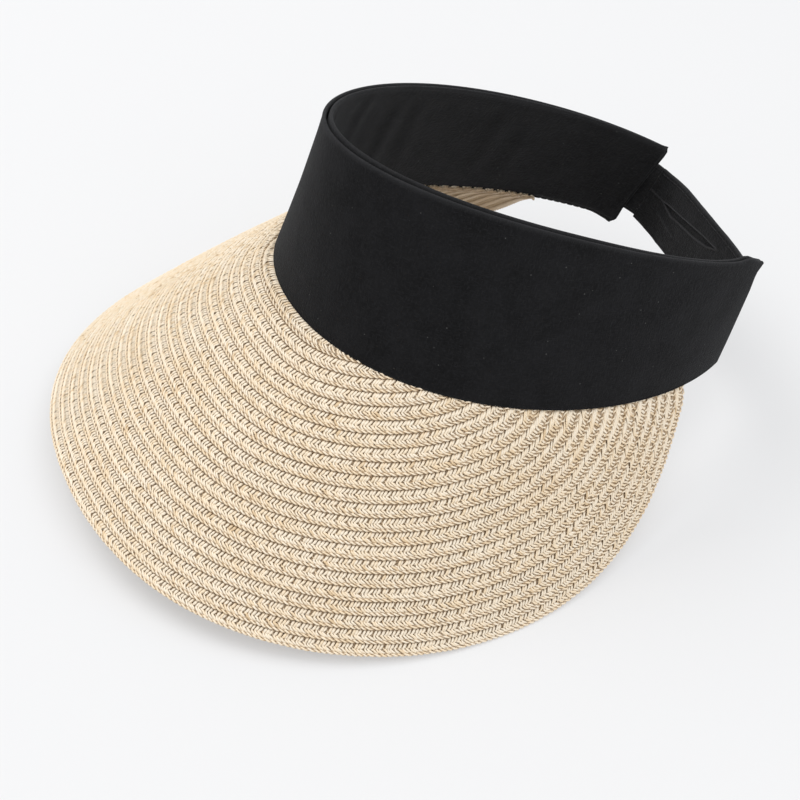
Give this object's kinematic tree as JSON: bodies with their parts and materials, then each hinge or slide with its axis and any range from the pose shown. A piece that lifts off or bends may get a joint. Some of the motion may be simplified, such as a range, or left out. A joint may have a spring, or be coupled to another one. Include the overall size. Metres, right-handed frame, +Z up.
{
  "type": "sun visor",
  "caption": "Open-crown sun visor: wide braided paper-straw brim on a black fabric headband with a hook-and-loop closure strap at the back.",
  "frame": {"origin": "on the table plane the visor rests on, under the middle of its width and length", "axes": "+X the wearer's left, -Y the front of the brim, +Z up"},
  "size_m": [0.246, 0.2849, 0.1474],
  "materials": {
    "band_interlining": "matte",
    "band_lining": "matte",
    "band_outer_cover": "matte",
    "brim_braid_course_01": "matte",
    "brim_braid_course_02": "matte",
    "brim_braid_course_03": "matte",
    "brim_braid_course_04": "matte",
    "brim_braid_course_05": "matte",
    "brim_braid_course_06": "matte",
    "brim_braid_course_07": "matte",
    "brim_braid_course_08": "matte",
    "brim_braid_course_09": "matte",
    "brim_braid_course_10": "matte",
    "brim_braid_course_11": "matte",
    "brim_braid_course_12": "matte",
    "brim_braid_course_13": "matte",
    "brim_braid_course_14": "matte",
    "brim_braid_course_15": "matte",
    "brim_braid_course_16": "matte",
    "brim_braid_course_17": "matte",
    "brim_braid_course_18": "matte",
    "brim_braid_course_19": "matte",
    "brim_braid_course_20": "matte",
    "brim_braid_course_21": "matte",
    "brim_braid_course_22": "matte",
    "brim_seam_thread": "matte",
    "closure_strap_inner_ply": "matte",
    "closure_strap_interlining": "matte",
    "closure_strap_outer_ply": "matte",
    "closure_strap_root_inner_ply": "matte",
    "closure_strap_root_interlining": "matte",
    "closure_strap_root_outer_ply": "matte",
    "closure_strap_tip_inner_ply": "matte",
    "closure_strap_tip_interlining": "matte",
    "closure_strap_tip_outer_ply": "matte",
    "hook_tape": "matte",
    "hook_tape_stitch": "matte",
    "loop_tape": "matte",
    "loop_tape_stitch": "matte",
    "strap_anchor_stitch": "matte",
    "strap_edge_stitch": "matte"
  },
  "bodies": {
    "visor": {"band_interlining": "band_interlining", "band_lining": "band_lining", "band_outer_cover": "band_outer_cover", "brim_braid_course_01": "brim_braid_course_01", "brim_braid_course_02": "brim_braid_course_02", "brim_braid_course_03": "brim_braid_course_03", "brim_braid_course_04": "brim_braid_course_04", "brim_braid_course_05": "brim_braid_course_05", "brim_braid_course_06": "brim_braid_course_06", "brim_braid_course_07": "brim_braid_course_07", "brim_braid_course_08": "brim_braid_course_08", "brim_braid_course_09": "brim_braid_course_09", "brim_braid_course_10": "brim_braid_course_10", "brim_braid_course_11": "brim_braid_course_11", "brim_braid_course_12": "brim_braid_course_12", "brim_braid_course_13": "brim_braid_course_13", "brim_braid_course_14": "brim_braid_course_14", "brim_braid_course_15": "brim_braid_course_15", "brim_braid_course_16": "brim_braid_course_16", "brim_braid_course_17": "brim_braid_course_17", "brim_braid_course_18": "brim_braid_course_18", "brim_braid_course_19": "brim_braid_course_19", "brim_braid_course_20": "brim_braid_course_20", "brim_braid_course_21": "brim_braid_course_21", "brim_braid_course_22": "brim_braid_course_22", "brim_seam_thread": "brim_seam_thread", "closure_strap_root_inner_ply": "closure_strap_root_inner_ply", "closure_strap_root_interlining": "closure_strap_root_interlining", "closure_strap_root_outer_ply": "closure_strap_root_outer_ply", "loop_tape": "loop_tape", "loop_tape_stitch": "loop_tape_stitch", "strap_anchor_stitch": "strap_anchor_stitch"},
    "strap": {"closure_strap_inner_ply": "closure_strap_inner_ply", "closure_strap_interlining": "closure_strap_interlining", "closure_strap_outer_ply": "closure_strap_outer_ply", "strap_edge_stitch": "strap_edge_stitch"},
    "strap_tip": {"closure_strap_tip_inner_ply": "closure_strap_tip_inner_ply", "closure_strap_tip_interlining": "closure_strap_tip_interlining", "closure_strap_tip_outer_ply": "closure_strap_tip_outer_ply", "hook_tape": "hook_tape", "hook_tape_stitch": "hook_tape_stitch"}
  },
  "joints": [
    {"name": "strap_swing", "type": "hinge", "parent": "visor", "child": "strap", "pos_m": [0.04628, 0.12294, 0.0501], "axis": [0.2351, -0.468, -0.8519], "range_deg": [0, 75]},
    {"name": "strap_tip_peel", "type": "hinge", "parent": "strap", "child": "strap_tip", "pos_m": [-0.04899, 0.13306, 0.04809], "axis": [-0.2028, -0.4555, -0.8668], "range_deg": [0, 90]}
  ]
}
